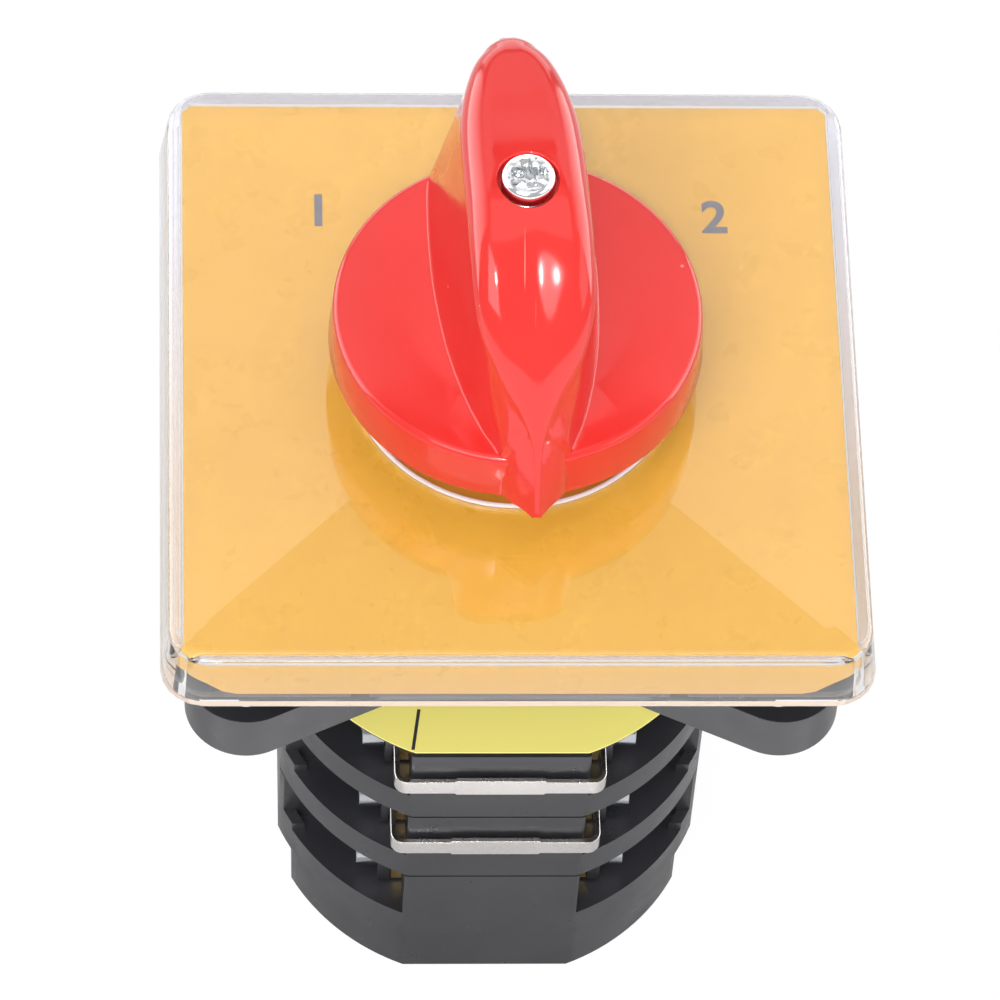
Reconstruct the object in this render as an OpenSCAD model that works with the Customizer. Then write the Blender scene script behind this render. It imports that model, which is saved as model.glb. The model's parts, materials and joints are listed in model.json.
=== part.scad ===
// Reversing drum switch for a control panel: a red pointer knob turns a square shaft through
// three cam stages, and the front plate and the mounting flange clamp the panel between them.
// Z runs up along the shaft, the knob is on top and the rear cover stands on z = 0.
// The front edge of the plate, where the pointer tip points, faces -Y.

/* [Drum] */
// Radius of the round stage housings
drum_r = 30.6; // [29.6:0.1:33]
// Distance from the shaft to the front and rear flats
front_flat = 28.4; // [27:0.1:29.4]
// Distance from the shaft to the side flats
side_flat = 28.4; // [28:0.1:30]
// Half width of the front and rear columns, which the terminals lie against
column_half = 11.8; // [11.4:0.1:12.6]
// Half width of the side columns, which hold the moving contacts
side_half = 12.8; // [12.6:0.1:13.4]
// Height of one switching stage
stage_h = 15.6; // [15:0.1:18]
// Thickness of the barrier floor of a stage
barrier_t = 5.5; // [4:0.1:5.8]
// Width of the seam at the foot of each stage
seam_w = 0.3; // [0.2:0.05:0.6]
// Depth of the seam at the foot of each stage
seam_depth = 0.25; // [0.1:0.05:0.6]
// Width of the toes that end the side columns on a barrier
toe_w = 1.5; // [1:0.1:2]
// Height of the toes
toe_h = 1.6; // [1:0.1:2.5]
// How far the toes reach past the side columns
toe_reach = 2.3; // [1:0.1:3]
// Height of the rear cover
rear_h = 10; // [8:0.5:14]
// How far the rear cover stands in from the barriers
rear_inset = 0.8; // [0.4:0.1:2]
// How far the rear cover's sides stand in from the side flats
rear_side_inset = 2; // [0.4:0.1:3]

/* [Shaft and bearings] */
// Width across the flats of the square shaft
shaft_w = 7; // [6:0.1:8]
// Gap on each side of the square shaft in the knob, the cams and the wheel
square_clear = 0.05; // [0.02:0.01:0.1]
// Radius of the upper journal
top_journal_r = 7; // [6.5:0.1:7.4]
// Radius of the lower journal
low_journal_r = 4.5; // [4:0.1:5.5]
// Running clearance of both journals, on the radius
journal_clear = 0.05; // [0.02:0.01:0.1]
// Depth of the lower bearing in the rear cover
low_bearing_h = 7.6; // [5:0.1:8]
// Height of the square shaft's end above the disc of the knob
shaft_end_h = 17.4; // [10:0.1:20]

/* [Cams and contacts] */
// Radius of a cam
cam_r = 8.2; // [7.6:0.1:8.4]
// How far a cam stands off the shaft centre
cam_offset = 2; // [1.2:0.1:2]
// Height of the cams and the plungers
cam_h = 7; // [5:0.1:8]
// Gap between a cam and the face of a plunger
cam_gap = 0.15; // [0.12:0.01:0.25]
// Radius of the round hubs that space the cams on the shaft
hub_r = 6; // [5.9:0.1:6.1]
// Half width of a plunger
plunger_half = 4.5; // [3.5:0.1:5]
// Sliding clearance of a plunger in its channel
slide_clear = 0.05; // [0.02:0.01:0.1]
// Open gap between the contact tips with the knob at the middle
contact_gap = 1.5; // [1.45:0.01:2]
// Height of a contact tip above its strip
tip_t = 0.6; // [0.4:0.1:1]
// Radius of a contact tip
tip_r = 1.8; // [1.2:0.1:2]
// Distance of the contact tips from the plane through the shaft
tip_y = 9.5; // [9:0.1:9.7]
// Thickness of a contact bridge
bridge_t = 1.2; // [0.8:0.1:2]
// Height of a contact bridge
bridge_h = 4.4; // [4:0.1:5]
// Wire diameter of the contact springs
spring_wire = 0.7; // [0.5:0.05:0.9]
// Mean radius of the contact springs
spring_r = 2.9; // [2.8:0.05:3.2]
// Turns of a contact spring
spring_turns = 5; // [3:1:6]
// Wall between a spring and the side flat
spring_wall = 2.8; // [2:0.1:5]

/* [Terminals] */
// Thickness of a terminal strip
tab_t = 1.5; // [1:0.1:2]
// Height of a terminal strip
tab_h = 7.4; // [6:0.1:8.4]
// Where a terminal strip ends outside, from the plane through the shaft
tab_end = 23; // [22.6:0.1:26]
// Distance of the terminal screws from the plane through the shaft
screw_y = 19.4; // [18.6:0.1:19.8]
// Radius of a terminal screw's shank
screw_r = 1.75; // [1.5:0.05:2]
// Radius of a terminal screw's head
screw_head_r = 3.2; // [2.8:0.1:3.4]
// Height of a terminal screw's head
screw_head_h = 3; // [1.5:0.1:3.2]
// Gap round the shanks of the screws
screw_clear = 0.15; // [0.05:0.05:0.25]
// Half width of a square clamp washer
clamp_half = 3.8; // [3.5:0.1:3.9]
// Thickness of a clamp washer
clamp_t = 1.1; // [0.6:0.1:1.4]
// Thickness of the wire straps
strap_t = 0.7; // [0.5:0.1:1]
// Height of the strip of a strap
strap_h = 2.8; // [2:0.1:4]
// Outer bend radius of a strap
strap_bend_r = 1.7; // [1.2:0.1:3]
// Radius of the eyes of a strap
strap_eye_r = 3.7; // [3.4:0.1:4]
// How far a strap stands in front of the front flat
strap_stand = 0.5; // [0.3:0.1:2]

/* [Detent housing] */
// Thickness of the base plate of the detent housing
base_t = 1; // [0.8:0.1:2]
// How far the base plate stands in from the rating label
base_inset = 0.4; // [0.2:0.1:1]
// Thickness of the rating label
label_t = 0.25; // [0.1:0.05:0.5]
// Height of the neck above its base plate
neck_h = 21.7; // [20:0.1:30]
// Radius of the neck
neck_r = 20.4; // [20:0.1:21.5]
// Thickness of the floor of the neck above the base plate
neck_floor_t = 4; // [3:0.1:5]
// Radius of the round detent chamber
chamber_r = 11.4; // [11.2:0.1:12]
// Radius over the lobes of the detent wheel
wheel_r = 9; // [8.6:0.1:9.4]
// Height of the detent wheel
wheel_h = 8; // [6:0.1:9]
// Notches round the detent wheel, one for each place where the knob can rest
wheel_notches = 8; // [8, 12]
// Radius of a detent roller
roller_r = 1.7; // [1.4:0.1:2]
// Gap between a lobe and a roller as it passes
roller_gap = 0.1; // [0.05:0.05:0.2]
// Height of the stop disc
stop_h = 3; // [2:0.1:3.4]
// Radius of the tie bolts
bolt_r = 1.9; // [1.5:0.05:2]
// Distance of the tie bolts from the shaft
bolt_y = 16.5; // [16:0.1:17]
// Radius of the heads of the tie bolts
bolt_head_r = 3.4; // [3:0.1:3.6]

/* [Mounting flange] */
// Distance of the mounting holes from the sides of the front cover
ear_inset = 11; // [10:0.5:13]
// Radius of the mounting holes
hole_r = 2.25; // [2:0.05:3]
// Outer radius of an ear
ear_r = 7.8; // [6.5:0.1:8.5]
// Radius of the flange's hub
flange_r = 24.2; // [23:0.1:26]
// Height of the flange
flange_h = 8.2; // [7:0.1:12]
// Thickness of the ribs and walls of the ears
rib_t = 2.3; // [1.6:0.1:2.6]
// Thickness of the floor in the ears
ear_floor_t = 3; // [2:0.1:5]
// Gap between the ears and the front cover, which the panel fills
panel_gap = 8.9; // [6:0.1:12]
// Radius of the collar that passes through the panel
collar_r = 13.8; // [13.4:0.1:13.9]

/* [Front plate] */
// Width of the front cover at its rim
cover_w = 90; // [89.5:0.5:96]
// Height of the front cover
cover_h = 8.9; // [8.4:0.1:14]
// Taper of the cover on each side, from rim to top
cover_draft = 0.9; // [0.2:0.1:1]
// Wall of the cover at its rim
cover_wall = 2.7; // [2.5:0.1:3.4]
// Thickness of the top of the cover
cover_top_t = 1.5; // [1:0.1:2.5]
// Corner radius of the cover
cover_corner_r = 5.5; // [4:0.1:7]
// Rounding of the cover's top edge
cover_edge_r = 1; // [0.4:0.1:1.4]
// Radius of the hole in the cover
cover_hole_r = 21; // [20.4:0.1:22]
// Thickness of the legend plate
legend_t = 1.2; // [0.8:0.1:1.6]
// Radius of the hole in the legend plate
legend_hole_r = 20; // [19.8:0.1:20.4]
// How far the corners of the legend plate's skirt are cut back
skirt_cut = 6; // [3:0.1:8]
// Fit between the cover, the legend plate and the back plate
plate_clear = 0.3; // [0.15:0.05:0.35]
// How far the cover's rim stands past the back plate
rim_drop = 0.3; // [0.1:0.1:1]
// Thickness of the back plate
back_t = 1; // [0.8:0.1:1.2]
// Height of the back plate's inner wall
back_wall_h = 3.5; // [2:0.1:4]

/* [Knob] */
// Radius of the disc at its lower edge
disc_r = 23.75; // [23:0.05:25]
// Taper of the disc, on the radius
disc_taper = 0.4; // [0:0.05:0.8]
// Height of the disc
disc_h = 7.3; // [6:0.1:10]
// Wall of the disc, which is hollow underneath
disc_wall = 2.4; // [2:0.1:3]
// Rounding of the disc's upper edge
disc_edge_r = 0.9; // [0.4:0.1:1.5]
// Gap between the disc and the front cover
disc_gap = 6.8; // [3:0.1:9]
// Height of the grip above the disc
grip_h = 27.9; // [24:0.1:34]
// Reach of the grip's tail behind the shaft
tail_reach = 22.1; // [20:0.1:22.4]
// Reach of the pointer tip in front of the shaft
tip_reach = 27.2; // [26:0.1:30]
// Half width of the grip where it meets the disc
grip_half = 10.5; // [9.6:0.1:11]
// Half width of the grip's top
deck_half = 7.5; // [6.5:0.1:8]
// Rounding of the long edges of the grip's top
deck_edge_r = 1.6; // [0.8:0.1:2]
// Turn of the grip on its hub, as the knob sits in the photograph, in degrees
grip_turn = 4; // [-6:0.5:6]
// Radius of the pocket for the knob screw
pocket_r = 3.85; // [3.6:0.05:4.2]
// Depth of the pocket for the knob screw
pocket_h = 2.2; // [1.4:0.1:3]
// Radius of the knob screw's head
knob_head_r = 3.35; // [3:0.05:3.5]
// Height of the knob screw's head
knob_head_h = 2.5; // [1.5:0.1:3]
// Radius of the knob screw's shank
knob_screw_r = 2; // [1.5:0.05:2.2]
// Length of the knob screw's shank
knob_screw_l = 18; // [16:0.5:22]
// Rounding of the knob screw's head
knob_head_edge_r = 1; // [0.4:0.1:1.2]
// Radius of the washer under the knob screw
washer_r = 3.7; // [3.4:0.05:3.75]
// Thickness of the washer under the knob screw
washer_t = 0.8; // [0.5:0.1:1]

/* [Hidden] */
$fn = 96;
overrun = 1;
stages = 3;
seat_gap = 0.3;
legend_w = cover_w - 2 * (cover_wall + plate_clear);
stack_top = rear_h + stages * stage_h;
label_z = stack_top + base_t;
flange_z = label_z + neck_h;
flange_top = flange_z + flange_h;
cover_z = flange_top + panel_gap;
back_z = cover_z + rim_drop;
skirt_z = back_z + back_t;
cover_top = cover_z + cover_h;
legend_top = cover_top - cover_top_t;
disc_z = cover_top + disc_gap;
disc_top = disc_z + disc_h;
deck_z = disc_top + grip_h;
seat_z = deck_z - pocket_h;
shaft_top = disc_top + shaft_end_h;

// Levels inside a stage, from the stage's own floor
mid_h = barrier_t + strap_eye_r + 1.5 * seat_gap;
function stage_z(number) = rear_h + (stages - number) * stage_h;
shaft_hole_r = hub_r + 2 * seat_gap;
cam_chamber_r = cam_r + cam_offset + seat_gap;
plunger_face = cam_r + cam_gap;
tab_outer = column_half + tab_t;
fixed_tip = tab_outer + tip_t;
moving_tip = fixed_tip + contact_gap;
bridge_x = moving_tip + tip_t;
spring_x = bridge_x + bridge_t;
spring_end = side_flat - spring_wall;
bridge_half = tip_y + tip_r;
chamber_half = bridge_half + seat_gap;
tab_start = tip_y - tip_r - 2 * seat_gap;
nose_half = 1.6;
nose_l = 1.4;
clamp_x = tab_outer + strap_t;
head_x = clamp_x + clamp_t;
screw_depth = 5.3;

// Levels of the detent parts
chamber_floor = label_z + neck_floor_t;
stop_z = chamber_floor + seat_gap;
wheel_z = stop_z + stop_h + seat_gap;
wheel_mid = wheel_z + wheel_h / 2;
roller_x = wheel_r + roller_gap + roller_r;
roller_h = wheel_h - 1;
notch_r = roller_r + seat_gap;
notch_depth = 0.8;
slider_x = roller_x + roller_r + seat_gap / 3;
slider_l = 2.2;
slider_half = 3.1;
detent_wall = 1.6;
detent_spring_x = slider_x + slider_l;
detent_spring_r = 1.9;
detent_wire = 0.5;
detent_turns = 3;
lug_angle = 10;
stop_angle = 8;
// The knob turns by one notch to each side of the middle, in degrees
turn = 360 / wheel_notches;
stop_inner_r = wheel_r + 0.25;
stop_slack = 1;

// Two small tabs on the front and rear skirts of the legend plate drop into the back plate
tab_half = 0.8;
tab_place_share = 0.238;
tab_places = [-legend_w * tab_place_share, legend_w * tab_place_share];

// The hub of the knob, which reaches down over the shaft to the back plate
knob_hub_r = top_journal_r + 1;
knob_hub_z = skirt_z + back_t + 2 * seat_gap;
disc_roof_t = 2.9;

// Corners of the skirt's slanting cuts, as shares of skirt_cut
cut_mid_shares = [0.5, 0.58];
cut_end_share = 0.75;

// Places of the screws of the flange and the back plate
flange_screw_r = 1.9;
flange_head_r = 3.3;
flange_head_h = 2.6;
flange_screw_pcd_r = 17.4;
plate_screw_r = 1.4;
plate_head_r = 2.5;
plate_screw_pcd_r = 11;
screw_bite = 9;
ear_xy = cover_w / 2 - ear_inset;
ear_reach = ear_xy * sqrt(2);

// Colours
black = "#33333a";
red = "#f0483c";
yellow = "#fdba45";
label_yellow = "#e8dc6e";
nickel = "#d9cfc9";
zinc = "#c9ccd0";
brass = "#c9a04e";
steel = "#a7abb0";
clear = [0.86, 0.9, 0.95, 0.4];

// Flat shapes

module round_square(half, r) {
  for (sx = [-1, 1]) for (sy = [-1, 1])
    translate([sx * (half - r), sy * (half - r)]) circle(r = r);
  square([2 * half, 2 * (half - r)], center = true);
  square([2 * (half - r), 2 * half], center = true);
}

// Outline of a barrier: a circle cut by four flats
module drum_outline(inset = 0) {
  flat_outline(drum_r - inset, side_flat - inset, front_flat - inset);
}

module flat_outline(r, side, front) {
  intersection() {
    circle(r = r);
    square([2 * side, 2 * front], center = true);
  }
}

// Outline of the columns that stand on a barrier
module column_outline() {
  intersection() {
    drum_outline();
    union() {
      square([2 * column_half, 2 * front_flat], center = true);
      square([2 * side_flat, 2 * side_half], center = true);
    }
  }
}

// Low toes along the barrier's edge at both ends of the side columns
module toe_outline() {
  difference() {
    intersection() {
      drum_outline();
      square([2 * side_flat, 2 * (side_half + toe_reach)], center = true);
    }
    circle(r = drum_r - toe_w);
  }
}

// Sector of a ring between two radii, centred on the -Y direction
module sector(inner, outer, half_angle) {
  intersection() {
    difference() {
      circle(r = outer);
      circle(r = inner);
    }
    reach = 2 * outer;
    polygon([[0, 0], [-reach * sin(half_angle), -reach * cos(half_angle)],
             [reach * sin(half_angle), -reach * cos(half_angle)]]);
  }
}

// Solid helpers

module rod_x(x0, x1, r) {
  translate([min(x0, x1), 0, 0]) rotate([0, 90, 0]) cylinder(r = r, h = abs(x1 - x0));
}

module block(x0, x1, half_y, half_z) {
  translate([x0, -half_y, -half_z]) cube([x1 - x0, 2 * half_y, 2 * half_z]);
}

module square_bore(z0, z1) {
  w = shaft_w + 2 * square_clear;
  translate([-w / 2, -w / 2, z0]) cube([w, w, z1 - z0]);
}

module each_side() {
  for (side = [0, 1]) mirror([side, 0, 0]) children();
}

module each_corner() {
  for (side = [0, 1]) for (end = [0, 1]) mirror([side, 0, 0]) mirror([0, end, 0]) children();
}

// One open-ended coil spring along X, swept by a loop
module coil_x(x0, x1, mean_r, wire, turns) {
  sides = 5;
  per_turn = 9;
  steps = turns * per_turn;
  rise = x1 - x0 - wire;
  function centre(i) = [x0 + wire / 2 + rise * i / steps,
                        mean_r * cos(360 * i / per_turn), mean_r * sin(360 * i / per_turn)];
  function ring(i) = [for (k = [0 : sides - 1])
    let (a = 360 * k / sides, c = centre(i), turn_at = 360 * i / per_turn)
    c + [wire / 2 * sin(a), wire / 2 * cos(a) * cos(turn_at), wire / 2 * cos(a) * sin(turn_at)]];
  points = [for (i = [0 : steps]) each ring(i)];
  walls = [for (i = [0 : steps - 1]) for (k = [0 : sides - 1])
    let (a = i * sides + k, b = i * sides + (k + 1) % sides)
    each [[a, b, b + sides], [a, b + sides, a + sides]]];
  ends = [for (k = [1 : sides - 2]) each [[0, k + 1, k], [steps * sides, steps * sides + k,
    steps * sides + k + 1]]];
  polyhedron(points = points, faces = concat(walls, ends));
}

// Stages

module rear_cover() {
  color(black) difference() {
    linear_extrude(rear_h)
      flat_outline(drum_r - rear_inset, side_flat - rear_side_inset, front_flat - rear_inset);
    translate([0, 0, rear_h - low_bearing_h]) cylinder(r = low_journal_r + journal_clear, h = rear_h);
    for (end = [-1, 1]) translate([0, end * bolt_y, 0]) {
      translate([0, 0, -overrun]) cylinder(r = bolt_r + screw_clear, h = rear_h + 2 * overrun);
      translate([0, 0, -overrun]) cylinder(r = bolt_head_r + seat_gap, h = rear_h / 2 + overrun);
    }
  }
}

module contact_channels() {
  each_side() {
    translate([0, 0, mid_h]) block(hub_r, moving_tip, plunger_half + slide_clear, cam_h / 2 + slide_clear);
    translate([tab_outer, -chamber_half, barrier_t])
      cube([spring_end - tab_outer, 2 * chamber_half, stage_h]);
  }
  each_corner() translate([0, 0, mid_h]) {
    translate([column_half, tab_start - slide_clear, -tab_h / 2 - slide_clear])
      cube([tab_t + slide_clear, side_half, tab_h + 2 * slide_clear]);
    translate([0, screw_y, 0]) rod_x(column_half - screw_depth - seat_gap, side_flat,
      screw_r + screw_clear);
  }
}

module stage_housing(number) {
  color(black) translate([0, 0, stage_z(number)]) difference() {
    union() {
      linear_extrude(seam_w) drum_outline(seam_depth);
      translate([0, 0, seam_w]) linear_extrude(barrier_t - seam_w) drum_outline();
      translate([0, 0, barrier_t]) linear_extrude(stage_h - barrier_t) column_outline();
      translate([0, 0, barrier_t]) linear_extrude(toe_h) toe_outline();
    }
    translate([0, 0, -overrun]) cylinder(r = shaft_hole_r, h = stage_h);
    translate([0, 0, barrier_t]) cylinder(r = cam_chamber_r, h = stage_h);
    for (end = [-1, 1]) translate([0, end * bolt_y, -overrun])
      cylinder(r = bolt_r + screw_clear, h = stage_h + 2 * overrun);
    contact_channels();
  }
}

// The eccentric cam carries a round hub that spaces it from its neighbours
module cam(number) {
  color("#d8d2c4") translate([0, 0, stage_z(number)]) difference() {
    union() {
      translate([0, 0, number == stages ? seat_gap : 0])
        cylinder(r = hub_r, h = stage_h - (number == stages ? seat_gap : 0));
      translate([0, -cam_offset, mid_h - cam_h / 2]) cylinder(r = cam_r, h = cam_h);
    }
    square_bore(-overrun, stage_h + overrun);
  }
}

module at_contact(number, side) {
  translate([0, 0, stage_z(number) + mid_h]) mirror([side < 0 ? 1 : 0, 0, 0]) children();
}

module plunger(number, side) {
  color("#e6e1d2") at_contact(number, side) {
    block(plunger_face, bridge_x, plunger_half, cam_h / 2);
    block(bridge_x, spring_x + nose_l, nose_half, nose_half);
  }
}

module bridge(number, side) {
  color(brass) at_contact(number, side) {
    difference() {
      block(bridge_x, spring_x, bridge_half, bridge_h / 2);
      block(bridge_x - overrun, spring_x + overrun, nose_half + slide_clear, nose_half + slide_clear);
    }
    for (end = [-1, 1]) translate([0, end * tip_y, 0]) rod_x(moving_tip, bridge_x, tip_r);
  }
}

module contact_spring(number, side) {
  color(steel) at_contact(number, side)
    coil_x(spring_x, spring_end, spring_r, spring_wire, spring_turns);
}

// Terminals

module terminals(number) {
  color(brass) translate([0, 0, stage_z(number) + mid_h]) each_corner() {
    difference() {
      translate([column_half, tab_start, -tab_h / 2]) cube([tab_t, tab_end - tab_start, tab_h]);
      translate([0, screw_y, 0]) rod_x(column_half - overrun, tab_outer + overrun,
        screw_r + screw_clear);
    }
    translate([0, tip_y, 0]) rod_x(tab_outer, fixed_tip, tip_r);
  }
}

module terminal_screw() {
  slot_w = 1;
  slot_l = 1.2 * screw_head_r;
  slot_h = screw_head_h / 2;
  translate([0, screw_y, 0]) difference() {
    union() {
      rod_x(column_half - screw_depth, head_x, screw_r);
      rod_x(head_x, head_x + screw_head_h, screw_head_r);
    }
    translate([head_x + screw_head_h - slot_h, 0, 0]) {
      block(0, screw_head_h, slot_l / 2, slot_w / 2);
      block(0, screw_head_h, slot_w / 2, slot_l / 2);
    }
  }
}

module terminal_screws(number) {
  color(zinc) translate([0, 0, stage_z(number) + mid_h]) each_corner() terminal_screw();
}

// A square washer under each screw's head. In front it clamps the strap, where the stage has one,
// and elsewhere it is thicker by as much and lies on the terminal itself.
module clamp_washers(number) {
  color(zinc) translate([0, 0, stage_z(number) + mid_h]) for (side = [0, 1]) for (end = [0, 1])
    let (seat = end == 1 && number < stages ? clamp_x : tab_outer)
      mirror([side, 0, 0]) mirror([0, end, 0]) translate([0, screw_y, 0]) difference() {
        block(seat, head_x, clamp_half, clamp_half);
        rod_x(seat - overrun, head_x + overrun, screw_r + screw_clear);
      }
}

// A bent strip joins the two front terminals and ends in an eye under each screw
module strap(number) {
  front = front_flat + strap_stand + strap_t;
  wide_half = column_half / 2;
  wide_step = strap_h / 10;
  color(nickel) translate([0, 0, stage_z(number)]) difference() {
    union() {
      translate([0, 0, mid_h - strap_h / 2]) linear_extrude(strap_h) difference() {
        strap_block(clamp_x, front, strap_bend_r);
        strap_block(tab_outer, front - strap_t, strap_bend_r - strap_t);
      }
      translate([-wide_half, -front, mid_h - strap_h / 2 - wide_step])
        cube([2 * wide_half, strap_t, strap_h + 2 * wide_step]);
      each_side() translate([0, -screw_y, mid_h]) rod_x(tab_outer, clamp_x, strap_eye_r);
    }
    each_side() translate([0, -screw_y, mid_h])
      rod_x(tab_outer - overrun, clamp_x + overrun, screw_r + screw_clear);
  }
}

// Plan of a strap's outside or inside, open towards the shaft
module strap_block(half, front, r) {
  translate([-half, r - front]) square([2 * half, front - r - screw_y]);
  translate([r - half, -front]) square([2 * (half - r), 2 * r]);
  for (side = [-1, 1]) translate([side * (half - r), r - front]) circle(r = r);
}

module tie_bolts() {
  head_h = rear_h / 3;
  color(zinc) for (end = [-1, 1]) translate([0, end * bolt_y, 0]) {
    translate([0, 0, rear_h / 2]) cylinder(r = bolt_r, h = label_z + neck_h / 2 - rear_h / 2);
    translate([0, 0, rear_h / 2 - head_h]) cylinder(r = bolt_head_r, h = head_h, $fn = 6);
  }
}

// Detent

module detent_housing() {
  bolt_end = label_z + neck_h / 2 + seat_gap;
  color(black) difference() {
    union() {
      translate([0, 0, stack_top]) linear_extrude(base_t) drum_outline(base_inset);
      translate([0, 0, label_z]) cylinder(r = neck_r, h = neck_h);
    }
    translate([0, 0, stack_top - overrun]) cylinder(r = shaft_hole_r, h = neck_h);
    translate([0, 0, chamber_floor]) difference() {
      cylinder(r = chamber_r, h = neck_h);
      stops();
    }
    each_side() translate([0, 0, wheel_mid])
      block(hub_r, neck_r - detent_wall, slider_half + slide_clear, wheel_h / 2 + seat_gap);
    for (end = [-1, 1]) translate([0, end * bolt_y, stack_top - overrun])
      cylinder(r = bolt_r + screw_clear, h = bolt_end - stack_top + overrun);
    for (i = [0 : 3]) rotate(45 + 90 * i)
      translate([flange_screw_pcd_r, 0, flange_z - screw_bite - seat_gap])
        cylinder(r = flange_screw_r + screw_clear, h = neck_h);
  }
}

// Two stops in the chamber that the lug of the stop disc meets at the ends of the turn
module stops() {
  swing = turn + stop_slack + lug_angle + stop_angle;
  for (side = [-1, 1]) rotate(side * swing) linear_extrude(stop_h + seat_gap)
    sector(stop_inner_r, chamber_r + overrun, stop_angle);
}

module stop_disc() {
  color(steel) difference() {
    union() {
      translate([0, 0, stack_top]) cylinder(r = hub_r, h = stop_z + stop_h - stack_top);
      translate([0, 0, stop_z]) cylinder(r = stop_inner_r - seat_gap, h = stop_h);
      translate([0, 0, stop_z]) linear_extrude(stop_h) sector(hub_r, chamber_r - seat_gap, lug_angle);
    }
    square_bore(stack_top - overrun, wheel_z);
  }
}

module detent_wheel() {
  color(steel) difference() {
    union() {
      translate([0, 0, stop_z + stop_h]) cylinder(r = hub_r, h = flange_z - seat_gap - stop_z - stop_h);
      translate([0, 0, wheel_z]) cylinder(r = wheel_r, h = wheel_h);
    }
    for (i = [0 : wheel_notches - 1]) rotate(360 / wheel_notches * i)
      translate([wheel_r - notch_depth + notch_r, 0, wheel_z - overrun])
        cylinder(r = notch_r, h = wheel_h + 2 * overrun);
    square_bore(stop_z, flange_z);
  }
}

module detent_rollers() {
  color(zinc) each_side() translate([roller_x, 0, wheel_mid - roller_h / 2])
    cylinder(r = roller_r, h = roller_h);
}

module detent_sliders() {
  color("#e6e1d2") each_side() translate([0, 0, wheel_mid]) difference() {
    block(slider_x - roller_r / 2, detent_spring_x, slider_half, roller_h / 2);
    translate([roller_x, 0, -roller_h]) cylinder(r = roller_r + seat_gap / 3, h = 2 * roller_h);
  }
}

module detent_springs() {
  color(steel) each_side() translate([0, 0, wheel_mid])
    coil_x(detent_spring_x, neck_r - detent_wall, detent_spring_r, detent_wire, detent_turns);
}

module rating_label() {
  color(label_yellow) translate([0, 0, label_z]) linear_extrude(label_t) difference() {
    drum_outline();
    circle(r = neck_r + screw_clear);
  }
}

// Square shaft with a round journal at each end of its bearings
module shaft() {
  color(steel) difference() {
    union() {
      translate([0, 0, rear_h - low_bearing_h + seat_gap])
        cylinder(r = low_journal_r, h = low_bearing_h);
      translate([-shaft_w / 2, -shaft_w / 2, rear_h + seat_gap])
        cube([shaft_w, shaft_w, shaft_top - rear_h - seat_gap]);
      translate([0, 0, flange_z]) cylinder(r = top_journal_r, h = back_z - flange_z);
    }
    translate([0, 0, seat_z - knob_screw_l - seat_gap])
      cylinder(r = knob_screw_r + screw_clear, h = knob_screw_l);
  }
}

// Mounting flange

// Hub, ears and the straight sides between them, drawn in by a wall
module arm_outline(wall) {
  hub = flange_r - wall;
  ear = ear_r - wall;
  slope = (hub - ear) / ear_reach;
  side = sqrt(1 - slope * slope);
  for (i = [0 : 3]) rotate(45 + 90 * i)
    polygon([[hub * slope, hub * side], [hub * slope, -hub * side],
             [ear_reach + ear * slope, -ear * side], [ear_reach + ear * slope, ear * side]]);
}

module flange_outline() {
  circle(r = flange_r);
  arm_outline(0);
  each_ear() circle(r = ear_r);
}

module each_ear() {
  for (sx = [-1, 1]) for (sy = [-1, 1]) translate([sx * ear_xy, sy * ear_xy]) children();
}

module mounting_flange() {
  core_r = flange_r - rib_t;
  color(black) difference() {
    union() {
      translate([0, 0, flange_z]) linear_extrude(flange_h) flange_outline();
      translate([0, 0, flange_top]) cylinder(r = collar_r, h = back_z - flange_top);
    }
    translate([0, 0, flange_z - overrun])
      cylinder(r = top_journal_r + journal_clear, h = back_z - flange_z + 2 * overrun);
    translate([0, 0, flange_z + ear_floor_t]) linear_extrude(flange_h) difference() {
      arm_outline(rib_t);
      circle(r = core_r);
      each_ear() circle(r = ear_r);
    }
    each_ear() {
      translate([0, 0, flange_z + ear_floor_t]) cylinder(r = ear_r - rib_t, h = flange_h);
      translate([0, 0, flange_z - overrun]) cylinder(r = hole_r, h = flange_h);
    }
    for (i = [0 : 3]) rotate(45 + 90 * i) translate([flange_screw_pcd_r, 0, 0]) {
      translate([0, 0, flange_z - overrun])
        cylinder(r = flange_screw_r + screw_clear, h = flange_h + 2 * overrun);
      translate([0, 0, flange_top - flange_head_h - seat_gap])
        cylinder(r = flange_head_r + screw_clear, h = flange_h);
    }
    for (i = [0 : 3]) rotate(90 * i)
      translate([plate_screw_pcd_r, 0, back_z - screw_bite - seat_gap])
        cylinder(r = plate_screw_r + screw_clear, h = flange_h + screw_bite);
  }
}

module flange_screws() {
  seat = flange_top - flange_head_h - seat_gap;
  color(zinc) for (i = [0 : 3]) rotate(45 + 90 * i) translate([flange_screw_pcd_r, 0, 0]) {
    translate([0, 0, flange_z - screw_bite]) cylinder(r = flange_screw_r, h = seat + screw_bite - flange_z);
    translate([0, 0, seat]) cylinder(r = flange_head_r, h = flange_head_h);
  }
}

// Front plate

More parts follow.
